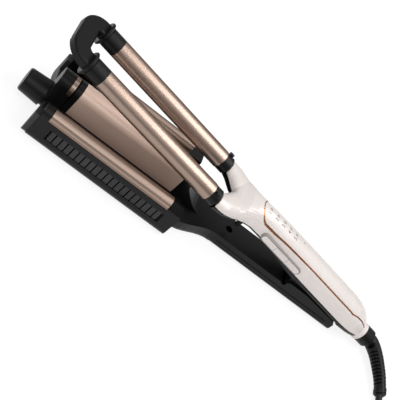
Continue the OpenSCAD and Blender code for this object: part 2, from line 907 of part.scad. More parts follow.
module cord_tie() {
    color(grey) translate(cord_shift + [coil_centre[0], coil_centre[1] + coil_r, coil_section])
        difference() {
            rod_x(-4, 4, 0, 0, coil_section + 0.9);
            rod_x(-5, 5, 0, 0, coil_section + 0.3);
            box([-5, -20, -20], [5, 20, 0.2 - coil_section]);
        }
}

module cord_tail() {
    color(black) translate(cord_shift) tube(tail_points, [for (p = tail_points) cord_d / 2]);
}

module plug_body() {
    color(black) translate(plug_at + cord_shift) rotate([-90, 0, 0]) {
        cylinder(h = 10, r1 = 4.4, r2 = 5.2);
        translate([0, 0, 10]) cylinder(h = plug_length - 14, r1 = 5.2, r2 = 6.7);
        translate([0, 0, plug_length - 6.5]) linear_extrude(6.5) racetrack(35.3, 13.4);
    }
}

module plug_pins() {
    color(steel) translate(plug_at + cord_shift) rotate([-90, 0, 0])
        for (s = [-1, 1]) translate([s * pin_spacing / 2, 0, plug_length])
            cylinder(h = pin_reach, r = 2);
}

// ---------- jaw ----------

// Outline of the jaw's cross-section up to the side barrels' seats
module jaw_section(inset = 0) {
    hw = jaw_hw - inset;
    r = jaw_corner - inset;
    union() {
        for (s = [-1, 1]) translate([s * (hw - r), jaw_corner]) circle(r = r);
        translate([-hw + r, inset]) square([2 * (hw - r), r]);
        translate([-hw, jaw_corner]) square([2 * hw, seat_z - jaw_corner + (inset > 0 ? 1 : 0)]);
    }
}

module valley_section(hw, z) {
    translate([-hw, z]) square([2 * hw, 60]);
}

slot_pitch = (vent_length - vent_end_w) / (slot_count - 1);

module jaw_shell() {
    color(black) lower() {
        difference() {
            along_x(-block_x, -jaw_root) difference() {
                jaw_section();
                jaw_section(jaw_wall);
                valley_section(jaw_hw - jaw_wall - 0.1, seat_z - 2);
            }
            box([-vent_root - vent_length, -jaw_hw - 1, slot_z],
                [-vent_root, jaw_hw + 1, slot_z + slot_height]);
        }
        difference() {
            along_x(-jaw_root - jaw_wall, -jaw_root) difference() {
                intersection() {
                    jaw_section();
                    translate([-jaw_hw, 0]) square([2 * jaw_hw, seat_z]);
                }
                valley_section(valley_hw, valley_z);
                translate([-wire_y - 6, floor_t]) square([2 * wire_y + 12, 9]);
            }
        }
    }
}

// Grille behind the jaw's window: upright ribs on a slotted backing
module vent(side) {
    out = jaw_hw - jaw_wall;
    x0 = -vent_root - vent_length + vent_end_w / 2;
    color(grey) lower() difference() {
        union() {
            translate([0, side * (out - vent_back / 2 - touch), 0])
                box([-vent_root - vent_length - vent_margin, -vent_back / 2, slot_z - vent_margin],
                    [-vent_root + vent_margin, vent_back / 2, slot_z + slot_height + vent_margin]);
            translate([0, side * (jaw_hw - vent_depth - jaw_wall / 2), 0])
                box([x0 + vent_end_w / 2, -jaw_wall / 2, slot_z + touch],
                    [-vent_root - vent_end_w, jaw_wall / 2, slot_z + slot_height - touch]);
        }
        for (i = [0 : slot_count - 1])
            translate([x0 + i * slot_pitch, side * out, slot_z + slot_height / 2])
                cube([slot_w, 4 * jaw_wall, slot_height - 2], center = true);
        for (i = [1 : slot_count - 2])
            translate([x0 + i * slot_pitch, side * (out + jaw_wall / 2), slot_z + slot_height / 2])
                cube([slot_w, jaw_wall, slot_height], center = true);
    }
}

module near_vent() {
    vent(-1);
}

module far_vent() {
    vent(1);
}

module jaw_deck() {
    x0 = -block_x + touch;
    x1 = -jaw_root - jaw_wall - touch;
    wall_in = valley_hw + 1.6;
    color(black) lower() difference() {
        union() {
            along_x(x0, x1) {
                both_sides() {
                    translate([slot_hw, valley_z - deck_t]) square([wall_in - slot_hw, deck_t]);
                    translate([valley_hw, valley_z - deck_t])
                        square([wall_in - valley_hw, seat_z - valley_z + deck_t]);
                    translate([valley_hw, seat_z - 1.8])
                        square([jaw_hw - jaw_wall - 0.2 - valley_hw, 1.8]);
                    translate([slot_hw, 9]) square([1.4, valley_z - 9]);
                    translate([valley_hw - 8, jaw_wall]) square([2, valley_z - deck_t - jaw_wall]);
                }
            }
            box([-centre_root + 0.4, -slot_hw - 1, valley_z - deck_t], [x1, slot_hw + 1, valley_z]);
            along_x(-centre_root + 0.4, x1) {
                translate([-centre_hw, valley_z]) square([2 * centre_hw, centre_z - valley_z]);
                translate([0, centre_z]) circle(r = centre_hw);
            }
        }
        // The root block behind the centre barrel slopes down towards the arm
        along_y(-30, 30) polygon([[-centre_root + 2.5, centre_z + centre_hw + 1],
            [-centre_root + 6, centre_z + 3.5], [x1 + touch, ramp_top], [x1 + 1, ramp_top], [x1 + 1, 60],
            [-centre_root + 2.5, 60]]);
        box([-centre_root - 1, -centre_hw + 1.6, 0], [x1 - 1.6, centre_hw - 1.6, centre_z - 8]);
    }
}

// The tip end cap with the tower that faces the centre barrel
module tip_block() {
    color(black) lower() difference() {
        union() {
            along_x(-jaw_tip, -block_x) difference() {
                union() {
                    jaw_section();
                    for (s = [-1, 1]) translate([s * side_y, side_z]) circle(r = side_r);
                    for (s = [-1, 1]) translate([s * side_y - side_r, seat_z - 1])
                        square([2 * side_r, side_z - seat_z + 1]);
                }
                valley_section(valley_hw, valley_z);
            }
            along_x(-tower_x, -tower_back) {
                translate([-centre_hw, valley_z - 4]) square([2 * centre_hw, centre_z - valley_z + 4]);
                translate([0, centre_z]) circle(r = centre_hw);
            }
            rod_x(-tower_x, -jaw_tip, 0, dial_z, dial_r - 1.8);
        }
        along_x(-tower_back - trim_w - 0.5, -tower_back - 0.4)
            trim_band(centre_hw + 1, centre_z - 2 - touch);
        rod_x(-tower_x - 1, -tower_back + 1, 0, dial_z, shaft_r + running_fit);
        rod_x(-block_x - 5, -block_x + 1, 0, dial_z, detent_r + 1);
        box([-tower_back - 13, -centre_hw + 1.6, valley_z + 4],
            [-tower_back + 1, centre_hw - 1.6, centre_z]);
        box([-block_x - 5, -1.6, dial_z], [-block_x + 1, 1.6, dial_z + 12]);
    }
}

// Grey end plates beside the dial, each proudest near its outer corner
module front_plate() {
    outer = jaw_hw - plate_inset;
    color(grey) lower() intersection() {
        along_x(-jaw_tip - plate_depth, -jaw_tip - touch) difference() {
            intersection() {
                jaw_section(plate_inset);
                translate([-jaw_hw, 0]) square([2 * jaw_hw, seat_z - 2]);
            }
            valley_section(valley_hw + plate_gap, valley_z - plate_gap / 2);
            valley_section(dial_r + 0.4, 0);
        }
        mirrored_y() linear_extrude(seat_z) polygon([[-jaw_tip + 1, 0], [-jaw_tip - plate_t, 0],
            [-jaw_tip - plate_t, dial_r], [-jaw_tip - plate_depth, outer - plate_bevel],
            [-jaw_tip - plate_depth + plate_bevel, outer + 1], [-jaw_tip + 1, outer + 1]]);
    }
}

// Band round the top of the tower, from a given outer radius inwards
module trim_band(outer, low) {
    difference() {
        arch(outer, centre_z, low);
        arch(centre_hw - 1.6, centre_z, low - 1);
    }
}

module tower_trim() {
    color(rose) lower() along_x(-tower_back - trim_w - 0.45, -tower_back - 0.45)
        trim_band(centre_hw - 0.3, centre_z - 2);
}

// Half-round heated cover with a short skirt and two lips
module side_barrel(side) {
    outer = side_r - side_lip;
    inner = outer - tube_wall;
    z = side_z + side_lip / 2;
    color(rose) lower() along_x(-side_tip, -side_tip + side_length) translate([side * side_y, 0])
        difference() {
            union() {
                translate([0, z]) circle(r = outer);
                translate([-outer, seat_z]) square([2 * outer, z - seat_z]);
                translate([-side_r, seat_z]) square([2 * side_r, side_lip]);
            }
            translate([0, z]) circle(r = inner);
            translate([-inner, 0]) square([2 * inner, z]);
            translate([-side_r - 1, 0]) square([2 * side_r + 2, seat_z]);
        }
}

module near_side_barrel() {
    side_barrel(-1);
}

module far_side_barrel() {
    side_barrel(1);
}

module side_heater(side) {
    color(steel) lower() along_x(-side_tip + 6, -side_tip + side_length - 6)
        translate([side * side_y, 0]) {
            translate([-3, seat_z]) square([6, 3.2]);
            translate([-1, seat_z + 3.2]) square([2, side_z + side_r - tube_wall - seat_z - 3.9]);
        }
}

module near_side_heater() {
    side_heater(-1);
}

module far_side_heater() {
    side_heater(1);
}

// ---------- arm ----------

shoulder_steps = 8;

// Half width of the arm at distance t (0 to 1) along the shoulder, towards the jaw
function shoulder(t) = arm_hw + (shoulder_hw - arm_hw) * (0.5 - 0.5 * cos(180 * t));

function shoulder_x(t) = -jaw_root + shoulder_length * (1 - t);

function shoulder_stations(inset, low, high) = [for (i = [shoulder_steps : -1 : 0])
    let (t = i / shoulder_steps, mid = (low + high) / 2)
    [shoulder_x(t), 0, mid, shoulder(t) - inset, (high - low) / 2, (high - low) / 2, 6]];

// Plan outline of the arm's top from the jaw to x1
module arm_plan(inset, x1) {
    pts = [for (i = [shoulder_steps : -1 : 0]) let (t = i / shoulder_steps)
        [shoulder_x(t), shoulder(t) - inset]];
    tail = concat(pts, [[x1, arm_hw - inset]]);
    polygon(concat(tail, [for (i = [len(tail) - 1 : -1 : 0]) [tail[i][0], -tail[i][1]]]));
}

module arm_profile(inset, top) {
    hw = arm_hw - inset;
    r = arm_corner - inset;
    for (s = [-1, 1]) translate([s * (hw - r), arm_corner]) circle(r = r);
    translate([-hw + r, inset]) square([2 * (hw - r), r]);
    translate([-hw, arm_corner]) square([2 * hw, top - arm_corner]);
}

module arm_shell() {
    under = arm_top - cover_t;
    straight = shoulder_x(0);
    color(black) lower() difference() {
        union() {
            intersection() {
                loft(shoulder_stations(0, 0, 2 * arm_top));
                box([-jaw_root, -60, 0], [straight, 60, under]);
            }
            along_x(straight, -cover_rear) arm_profile(0, under);
            intersection() {
                along_x(-cover_rear, tail_length) arm_profile(0, ear_top);
                along_y(-60, 60) polygon([[-cover_rear, 0], [-cover_rear, under],
                    [-ear_front, under], [-ear_front, ear_top - 2], [-ear_front + 3, ear_top],
                    [4, ear_top], [tail_length - 4, under + 0.6], [tail_length, under - 3],
                    [tail_length, 1], [tail_length - 1, 0]]);
            }
        }
        intersection() {
            loft(shoulder_stations(arm_wall, floor_t, 2 * arm_top));
            box([-jaw_root - 1, -60, floor_t], [straight + touch, 60, 60]);
        }
        along_x(straight, tail_length - 3) arm_profile(arm_wall, 60);
        rod_y(0, -40, 40, hinge_z, bush_r);
        // Long grooves that leave two ridges on each side
        mirrored_y() for (z = ridge_z)
            box([straight + 4, arm_hw - 0.5, z], [tail_length - 9, arm_hw + 1, z + ridge_w]);
        for (p = arm_screw_at) translate([p[0], p[1], -1]) {
            cylinder(h = 20, r = arm_screw_r);
            cylinder(h = 1.3 + arm_head, r = arm_head_r);
        }
    }
}

module arm_cover() {
    low = arm_top - cover_t + touch;
    boss_low = floor_t + 0.8;
    ramp_x = -jaw_root - jaw_wall;
    color(black) lower() difference() {
        union() {
            translate([0, 0, low]) linear_extrude(cover_t) arm_plan(0, -cover_rear);
            // Ramp that runs on from the block behind the centre barrel
            along_y(-ramp_hw, ramp_hw) polygon([[-jaw_root + touch, low], [-jaw_root + touch, valley_z],
                [-jaw_root + touch, valley_z + touch], [ramp_x, valley_z + touch],
                [ramp_x, ramp_top], [-139, 26.5], [-133, 21], [-127, 17], [-122, arm_top],
                [-122, low]]);
            for (p = arm_screw_at) translate([p[0], p[1], boss_low])
                cylinder(h = low - boss_low, r = arm_screw_r + 1.3);
        }
        translate([-guide_x, 0, 0]) cylinder(h = 40, r = guide_r + 1.4);
        for (p = arm_screw_at) translate([p[0], p[1], 0]) cylinder(h = arm_top - 2, r = arm_screw_r);
    }
}

// Screws that enter from below, their heads sunk in the arm's floor
module arm_screws() {
    head_z = 0.3;
    color(steel) lower() for (p = arm_screw_at) translate([p[0], p[1], head_z]) difference() {
        union() {
            cylinder(h = arm_head, r = arm_head_r);
            cylinder(h = arm_top - 2 - head_z, r = arm_screw_r);
        }
        translate([0, 0, -1]) cylinder(h = 1.7, r = 1.1, $fn = 6);
    }
}

module hinge_bushes() {
    color(black) lower() mirrored_y() difference() {
        rod_y(0, ear_in, arm_hw, hinge_z, bush_r);
        rod_y(0, 0, arm_hw - 0.8, hinge_z, pin_r + running_fit);
    }
}

module jaw_wiring() {
    color(copper) lower() for (s = [-1, 1])
        rod_x(-side_tip + 10, -50, s * wire_y, floor_t + wire_r + 0.5, wire_r);
}

// Leaf that drops into the dial shaft's notches
module detent_spring() {
    color(steel) lower() {
        translate([-detent_x - 1, -1.4, dial_z + detent_r + 0.1]) cube([2, 2.8, 1.2]);
        translate([-detent_x - 0.5, -1.4, dial_z + detent_r + 1.3]) cube([0.6, 2.8, 4.6]);
    }
}

// ---------- centre barrel and its lift ----------

module arch(hw, top, bottom) {
    translate([0, top]) circle(r = hw);
    translate([-hw, bottom]) square([2 * hw, top - bottom]);
}

module centre_barrel() {
    color(rose) lower() along_x(-centre_tip + touch, -centre_root) difference() {
        arch(centre_hw, centre_z, centre_skirt);
        arch(centre_hw - centre_wall, centre_z, centre_skirt - 1);
    }
}

module centre_ring() {
    color(black) lower() {
        along_x(-ring_tip, -centre_tip) difference() {
            arch(centre_hw, centre_z, centre_skirt);
            translate([-4, centre_skirt - 1]) square([8, ring_slot_top - centre_skirt + 1]);
        }
        along_x(-centre_tip, -centre_tip + 3) difference() {
            arch(centre_hw - centre_wall, centre_z, centre_skirt);
            translate([-4, centre_skirt - 1]) square([8, ring_slot_top - centre_skirt + 1]);
        }
    }
}

module centre_heater() {
    inner = centre_hw - centre_wall;
    color(steel) lower() along_x(-centre_tip + 8, -centre_root - 6) {
        translate([-inner, centre_z - 3]) square([2 * inner, 3]);
        translate([-1.5, centre_z]) square([3, inner - 0.2]);
        translate([-3, frame_top + 2.5]) square([6, centre_z - 3 - frame_top - 2.5 + touch]);
    }
}

// Gear tooth outline pointing along +x, from the root circle to the tip
module tooth() {
    polygon([[-dedendum - 0.3, -tooth_w * 0.7], [0, -tooth_w / 2], [addendum, -tooth_w * 0.26],
        [addendum, tooth_w * 0.26], [0, tooth_w / 2], [-dedendum - 0.3, tooth_w * 0.7]]);
}

rack_low = dial_z - 1;
rack_teeth = floor((frame_top - dial_z) / pitch);

module lift_frame() {
    inner = centre_hw - centre_wall;
    outer_y = rack_y + rack_t;
    color(grey) lower() {
        along_x(-centre_tip + 8, -centre_root - 6)
            translate([-inner, frame_top]) square([2 * inner, 2.5]);
        for (x = pinion_x) along_x(-x - 4, -x + 4) {
            translate([rack_y, rack_low]) square([rack_t, frame_top - rack_low + touch]);
            translate([-outer_y, rack_low]) square([rack_t, frame_top - rack_low + touch]);
        }
        for (x = pinion_x) along_x(-x - 2, -x + 2)
            for (i = [0 : rack_teeth - 1]) translate([pitch_r, dial_z + i * pitch])
                rotate(180) tooth();
    }
}

module dial_knob() {
    color(black) lower() difference() {
        union() {
            cone_x(-dial_x - dial_length + dial_edge, -dial_x, 0, dial_z, dial_r - dial_taper, dial_r);
            cone_x(-dial_x - dial_length, -dial_x - dial_length + dial_edge, 0, dial_z,
                dial_r - dial_taper - 1, dial_r - dial_taper);
        }
        rod_x(-dial_x - 12, -dial_x + 1, 0, dial_z, shaft_r);
    }
}

module dial_shaft() {
    end_x = pinion_x[1] - 6;
    color(steel) lower() {
        rod_x(-dial_x - 12, -end_x, 0, dial_z, shaft_r);
        difference() {
            rod_x(-detent_x - 1, -detent_x + 1, 0, dial_z, detent_r);
            for (i = [0 : 7]) translate([-detent_x, 0, dial_z]) rotate([45 * i, 0, 0])
                translate([-2, -1.6, detent_r - 0.5]) cube([4, 3.2, 2]);
        }
        for (x = pinion_x) rod_x(-x - 2, -x + 2, 0, dial_z, pitch_r - dedendum);
        // Pinion teeth sit half a pitch away from the rack teeth
        for (x = pinion_x) along_x(-x - 2, -x + 2) translate([0, dial_z])
            for (i = [0 : pinion_teeth - 1]) rotate(360 * (i + 0.5) / pinion_teeth)
                translate([pitch_r, 0]) tooth();
    }
}

upper_shell();
lower_housing();
inlay_rim();
inlay_panel();
indicator_windows();
button_bezel();
minus_button();
power_button();
plus_button();
button_board();
control_board();
hinge_chassis();
hinge_pin();
hinge_spring();
housing_screws();
guide_post();
near_barrel();
far_barrel();
near_heater();
far_heater();
near_root_collar();
far_root_collar();
near_tip_collar();
far_tip_collar();
tip_bridge();
bridge_plate();
end_collar();
contact_carrier();
swivel_collar();
swivel_shaft();
strain_relief();
cord_run();
cord_coil();
cord_tie();
cord_tail();
plug_body();
plug_pins();
jaw_shell();
jaw_deck();
tip_block();
front_plate();
tower_trim();
near_side_barrel();
far_side_barrel();
near_side_heater();
far_side_heater();
arm_shell();
arm_cover();
arm_screws();
hinge_bushes();
jaw_wiring();
detent_spring();
centre_barrel();
centre_ring();
centre_heater();
lift_frame();
dial_knob();
dial_shaft();
near_vent();
far_vent();
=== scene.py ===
import json
import math

import bpy
from mathutils import Matrix, Vector
from mathutils.bvhtree import BVHTree


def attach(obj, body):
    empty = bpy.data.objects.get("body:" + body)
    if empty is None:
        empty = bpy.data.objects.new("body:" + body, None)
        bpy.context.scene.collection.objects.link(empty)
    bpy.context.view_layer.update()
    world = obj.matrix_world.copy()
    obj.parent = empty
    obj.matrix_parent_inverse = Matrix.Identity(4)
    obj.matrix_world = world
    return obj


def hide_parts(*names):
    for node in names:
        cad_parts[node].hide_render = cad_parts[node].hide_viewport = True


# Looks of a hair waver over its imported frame: camera, cord, materials, fine detail and light.
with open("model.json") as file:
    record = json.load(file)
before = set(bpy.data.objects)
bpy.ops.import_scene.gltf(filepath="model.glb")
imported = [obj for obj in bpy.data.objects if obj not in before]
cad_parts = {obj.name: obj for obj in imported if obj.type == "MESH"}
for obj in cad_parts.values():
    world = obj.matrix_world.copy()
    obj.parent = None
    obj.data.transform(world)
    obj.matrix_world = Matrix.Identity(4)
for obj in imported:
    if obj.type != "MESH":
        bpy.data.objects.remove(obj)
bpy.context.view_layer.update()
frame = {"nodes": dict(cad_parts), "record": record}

NODES = frame["nodes"]
JOINTS = {j["name"]: j for j in frame["record"]["behaviour"]["joints"]}
MM = 0.001

# ---------- the handle's own frame, from the joints ----------

PIN = Vector(JOINTS["jaw_hinge"]["pos_m"])
AXIS = Vector(JOINTS["cord_swivel"]["axis"]).normalized()
LIFT = Vector((-AXIS.z, 0, AXIS.x))


def upper(x, y, z):
    """The place in the scene of a point in the handle's own frame, mm from the hinge pin."""
    return PIN + AXIS * (x * MM) + Vector((0, y * MM, 0)) + LIFT * (z * MM)


# ---------- camera ----------

CAMERA_AT = (-0.26978, -0.69544, 0.61333)
CAMERA_AZ = -20.04
CAMERA_EL = 38.62
CAMERA_ROLL = 49.94
CAMERA_LENS = 96.84
SENSOR_WIDTH = 36
CLIP_NEAR, CLIP_FAR = 0.01, 20


def make_camera():
    """A camera that looks down on the tool from the jaw's end, rolled to the left."""
    az, el, roll = (math.radians(a) for a in (CAMERA_AZ, CAMERA_EL, CAMERA_ROLL))
    back = Vector((math.cos(el) * math.sin(az), -math.cos(el) * math.cos(az), math.sin(el)))
    side = (-back).cross(Vector((0, 0, 1))).normalized()
    head = side.cross(-back)
    right = side * math.cos(roll) + head * math.sin(roll)
    up = -side * math.sin(roll) + head * math.cos(roll)
    data = bpy.data.cameras.new("view")
    data.lens = CAMERA_LENS
    data.sensor_width = SENSOR_WIDTH
    data.clip_start = CLIP_NEAR
    data.clip_end = CLIP_FAR
    cam = bpy.data.objects.new("view", data)
    axes = Matrix((right, up, back)).transposed()
    cam.matrix_world = Matrix.Translation(CAMERA_AT) @ axes.to_4x4()
    bpy.context.collection.objects.link(cam)
    bpy.context.scene.camera = cam


# ---------- mains cord ----------

CORD_D = 0.0064
CORD_ROUNDNESS = 5
EXIT_REACH = 0.0879
EXIT_HEIGHT = 0.012
EXIT_STUB = 0.002
EXIT = PIN + AXIS * EXIT_REACH + LIFT * EXIT_HEIGHT
# The points below are laid for an exit at x = 0.2, and the shift moves them to the real one
LAID_FROM = 0.2
CORD_SHIFT = Vector((EXIT.x - LAID_FROM, 0, 0))
RELIEF_POINTS = [(0.205, -0.002, 0.0091), (0.209, -0.008, 0.0086), (0.213, -0.016, 0.008),
    (0.217, -0.025, 0.0074), (0.221, -0.035, 0.0066), (0.224, -0.043, 0.006),
    (0.225, -0.048, 0.0056)]
RUN_POINTS = [(0.226, -0.053, 0.0047), (0.227, -0.058, 0.0039), (0.229, -0.063, 0.0034),
    (0.232, -0.070, 0.0033), (0.237, -0.076, 0.0033), (0.243, -0.080, 0.0033),
    (0.250, -0.083, 0.0033), (0.258, -0.084, 0.0033), (0.265, -0.084, 0.0033),
    (0.272, -0.084, 0.0033), (0.280, -0.084, 0.0033), (0.288, -0.084, 0.0033),
    (0.296, -0.084, 0.0033)]
TAIL_POINTS = [(0.343, -0.039, 0.0092), (0.3445, -0.032, 0.008), (0.3465, -0.026, 0.0069),
    (0.3485, -0.020, 0.0064), (0.3495, -0.015, 0.0065), (0.350, -0.010, 0.0068)]
COIL_CENTRE = Vector((0.304, -0.046, 0.0097))
COIL_R = 0.038
COIL_TURNS = 6.25
COIL_STEPS = 30
BUNDLE_R = 0.0064
BUNDLE_TURN = 60
START_ANGLE = -90
LAST_TURN_FROM = 5.8
LAST_TURN_OVER = 0.4


def coil_points():
    """Turns of the wound cord: six round the bundle's middle, the last along it."""
    points = []
    steps = int(COIL_TURNS * COIL_STEPS)
    for i in range(steps + 1):
        t = i / COIL_STEPS
        spread = BUNDLE_R * (1 - min(1, max(0, (t - LAST_TURN_FROM) / LAST_TURN_OVER)))
        place = math.radians(START_ANGLE + BUNDLE_TURN * t)
        around = math.radians(START_ANGLE + 360 * t)
        r = COIL_R + spread * math.cos(place)
        points.append(COIL_CENTRE + Vector((r * math.cos(around), r * math.sin(around),
            spread * math.sin(place))))
    return points


def cord_route():
    """The cord's whole centre line, from the swivel to its plug."""
    head = [EXIT, EXIT + AXIS * EXIT_STUB]
    laid = [Vector(p) for p in RELIEF_POINTS + RUN_POINTS] + coil_points()
    laid += [Vector(p) for p in TAIL_POINTS]
    return head + [p + CORD_SHIFT for p in laid]


def make_cord():
    """The sheathed cord as one spline along its route."""
    data = bpy.data.curves.new("mains_cord", "CURVE")
    data.dimensions = "3D"
    # Each point's radius sets the thickness, so the bevel itself is one unit
    data.bevel_depth = 1
    data.bevel_resolution = CORD_ROUNDNESS
    data.use_fill_caps = True
    route = cord_route()
    spline = data.splines.new("POLY")
    spline.points.add(len(route) - 1)
    for point, place in zip(spline.points, route):
        point.co = (*place, 1)
        point.radius = CORD_D / 2
    spline.use_smooth = True
    cord = bpy.data.objects.new("mains_cord", data)
    bpy.context.collection.objects.link(cord)
    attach(cord, "handle")
    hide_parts("cord_run", "cord_coil", "cord_tail")
    return cord


make_camera()
cord = make_cord()

# ---------- materials ----------

COAT_ROUGH = 0.18
GRAIN_HEIGHT = 0.0002
DRIFT_DETAIL, GRAIN_DETAIL = 2, 4


class Nodes:
    """A small helper that builds one procedural material."""

    def __init__(self, name, color, rough, metal=0.0):
        self.mat = bpy.data.materials.new(name)
        self.mat.use_nodes = True
        self.tree = self.mat.node_tree
        self.bsdf = self.tree.nodes["Principled BSDF"]
        self.set(self.bsdf, "Base Color", (*color, 1))
        self.set(self.bsdf, "Roughness", rough)
        self.set(self.bsdf, "Metallic", metal)
        self.place = self.tree.nodes.new("ShaderNodeTexCoord").outputs["Object"]

    def set(self, node, socket, value):
        node.inputs[socket].default_value = value

    def link(self, out, node, socket):
        self.tree.links.new(out, node.inputs[socket])

    def noise(self, scale, detail=3, stretch=(1, 1, 1), rough=0.5):
        """Noise in the object's own metres, stretched per axis."""
        mapping = self.tree.nodes.new("ShaderNodeMapping")
        self.set(mapping, "Scale", stretch)
        self.link(self.place, mapping, "Vector")
        node = self.tree.nodes.new("ShaderNodeTexNoise")
        self.set(node, "Scale", scale)
        self.set(node, "Detail", detail)
        self.set(node, "Roughness", rough)
        self.link(mapping.outputs["Vector"], node, "Vector")
        return node.outputs["Fac"]

    def ramp(self, value, low, high, start=0.3, end=0.7):
        """Maps a value between start and end, by default a noise, to a range."""
        node = self.tree.nodes.new("ShaderNodeMapRange")
        self.set(node, "From Min", start)
        self.set(node, "From Max", end)
        self.set(node, "To Min", low)
        self.set(node, "To Max", high)
        self.link(value, node, "Value")
        return node.outputs["Result"]

    def tint(self, value, dark, light):
        """Colour that moves between two tones with a value from 0 to 1."""
        node = self.tree.nodes.new("ShaderNodeMix")
        node.data_type = "RGBA"
        node.inputs["A"].default_value = (*dark, 1)
        node.inputs["B"].default_value = (*light, 1)
        self.link(value, node, "Factor")
        return node.outputs["Result"]

    def shade(self, value, tone, share):
        """A tone multiplied by a colour as far as a value from 0 to 1 says."""
        node = self.tree.nodes.new("ShaderNodeMix")
        node.data_type = "RGBA"
        node.blend_type = "MULTIPLY"
        node.inputs["B"].default_value = (*share, 1)
        self.link(value, node, "Factor")
        self.link(tone, node, "A")
        return node.outputs["Result"]

    def bump(self, value, strength, distance):
        node = self.tree.nodes.new("ShaderNodeBump")
        self.set(node, "Strength", strength)
        self.set(node, "Distance", distance)
        self.link(value, node, "Height")
        self.link(node.outputs["Normal"], self.bsdf, "Normal")


def surface(name, dark, light, rough, grain, bump, metal=0.0, stretch=(1, 1, 1), coat=0.0,
        patch=18.0, gloss=0.5, rise=None, edge=None, vary=0.17):
    """Two-tone material with broad tone drift, fine roughness grain and a fine bump.

    rise is painted shade that lightens it between two heights, darker below the first,
    edge is a metal's tone at grazing angles, and vary is how far its roughness moves either way.
    """
    m = Nodes(name, light, rough, metal)
    m.set(m.bsdf, "Specular IOR Level", gloss)
    drift = m.ramp(m.noise(patch, DRIFT_DETAIL), 0, 1)
    tone = m.tint(drift, dark, light)
    if edge:
        m.set(m.bsdf, "Specular Tint", (*edge, 1))
    # Painted shade: below the first height the colour is multiplied down to the share tone, lifting
    # to its own tone at the second
    if rise:
        split = m.tree.nodes.new("ShaderNodeSeparateXYZ")
        m.link(m.place, split, 0)
        low = m.ramp(split.outputs["Z"], 1, 0, rise[0], rise[1])
        tone = m.shade(low, tone, rise[2])
    m.link(tone, m.bsdf, "Base Color")
    fine = m.noise(grain, GRAIN_DETAIL, stretch)
    m.link(m.ramp(fine, rough * (1 - vary), rough * (1 + vary)), m.bsdf, "Roughness")
    m.bump(fine, bump, GRAIN_HEIGHT)
    if coat:
        m.set(m.bsdf, "Coat Weight", coat)
        m.set(m.bsdf, "Coat Roughness", COAT_ROUGH)
    return m.mat


def make_materials():
    """One material for each slot of the record, and a few for details."""
    return {
        "pearl_shell": surface("pearl", (0.66, 0.60, 0.57), (0.72, 0.665, 0.635), 0.3, 2600, 0.02,
            coat=0.3, vary=0.08),
        "rose_metal": surface("rose", (0.355, 0.262, 0.215), (0.395, 0.292, 0.24), 0.34, 1500,
            0.005, metal=0.9, stretch=(0.02, 1, 1), coat=0.1, edge=(0.3, 0.25, 0.22), vary=0.04),
        # The centre barrel's rose: a lighter, less metallic copy of the barrels' rose that paints
        # light onto its flank, with painted shade towards its bottom
        "rose_painted_light": surface("rose_painted_light", (0.80, 0.58, 0.475), (0.86, 0.63, 0.52), 0.38, 1500,
            0.005, metal=0.15, stretch=(0.02, 1, 1), coat=0.2,
            rise=(0.014, 0.038, (0.6, 0.54, 0.51)), vary=0.06),
        "pearl_edge": surface("pearl_edge", (0.24, 0.22, 0.21), (0.30, 0.27, 0.26), 0.4, 2600,
            0.05),
        "black_plastic": surface("charcoal", (0.0035, 0.0035, 0.0038), (0.006, 0.006, 0.0064), 0.38,
            1800, 0.1, gloss=0.2),
        "grey_plastic": surface("graphite", (0.022, 0.022, 0.024), (0.032, 0.032, 0.034), 0.5, 1500,
            0.2, gloss=0.3),
        "copper_trim": surface("copper", (0.31, 0.13, 0.06), (0.40, 0.18, 0.09), 0.3, 900, 0.04,
            metal=0.9),
        "steel_parts": surface("steel", (0.45, 0.45, 0.46), (0.6, 0.6, 0.62), 0.3, 900, 0.08,
            metal=1.0, stretch=(0.1, 1, 1)),
        "brass_parts": surface("brass", (0.6, 0.44, 0.2), (0.75, 0.56, 0.28), 0.3, 900, 0.06,
            metal=1.0),
        "board": surface("board", (0.02, 0.12, 0.05), (0.04, 0.2, 0.08), 0.4, 700, 0.1),
        "window": surface("window", (0.36, 0.34, 0.33), (0.44, 0.42, 0.41), 0.3, 900, 0.03),
        "ink": surface("ink", (0.13, 0.12, 0.12), (0.19, 0.18, 0.18), 0.5, 900, 0.03),
        "cord_rubber": surface("sheath", (0.008, 0.008, 0.0085), (0.013, 0.013, 0.0135), 0.45, 1400,
            0.12, gloss=0.3),
        "wire": surface("wire", (0.4, 0.08, 0.05), (0.5, 0.12, 0.07), 0.5, 900, 0.1),
    }


MATERIALS = make_materials()

# Nodes whose look differs a little from the rest of their slot: the button bezel has a darker edge
# finish, the centre barrel a lighter rose that is painted light, with painted shade towards its
# bottom
FINISHES = {"centre_barrel": "rose_painted_light", "button_bezel": "pearl_edge"}


def dress_nodes():
    """Gives every CAD node the material of its slot."""
    for part in frame["record"]["subparts"]:
        obj = NODES[part["node"]]
        look = MATERIALS[FINISHES.get(part["node"], part["material_slot"])]
        for slot in obj.material_slots:
            slot.material = look
        if not obj.material_slots:
            obj.data.materials.append(look)


dress_nodes()
cord.data.materials.append(MATERIALS["cord_rubber"])

# ---------- fine pieces ----------

SHARP_ANGLE = 35


def mesh_object(name, verts, faces, look, body):
    """A smooth mesh piece with crisp edges, riding on a body."""
    data = bpy.data.meshes.new(name)
    data.from_pydata(verts, [], faces)
    data.materials.append(MATERIALS[look])
    for poly in data.polygons:
        poly.use_smooth = True
    data.set_sharp_from_angle(angle=math.radians(SHARP_ANGLE))
    obj = bpy.data.objects.new(name, data)
    bpy.context.collection.objects.link(obj)
    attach(obj, body)
    return obj


def smooth_path(points, per_span):
    """Points of a Catmull-Rom curve through the given points."""
    ends = [2 * points[0] - points[1]] + points + [2 * points[-1] - points[-2]]
    path = []
    for a, b, c, d in zip(ends, ends[1:], ends[2:], ends[3:]):
        for i in range(per_span):
            t = i / per_span
            path.append(0.5 * (2 * b + (c - a) * t + (2 * a - 5 * b + 4 * c - d) * t * t
                + (3 * b - a - 3 * c + d) * t ** 3))
    return path + [points[-1]]


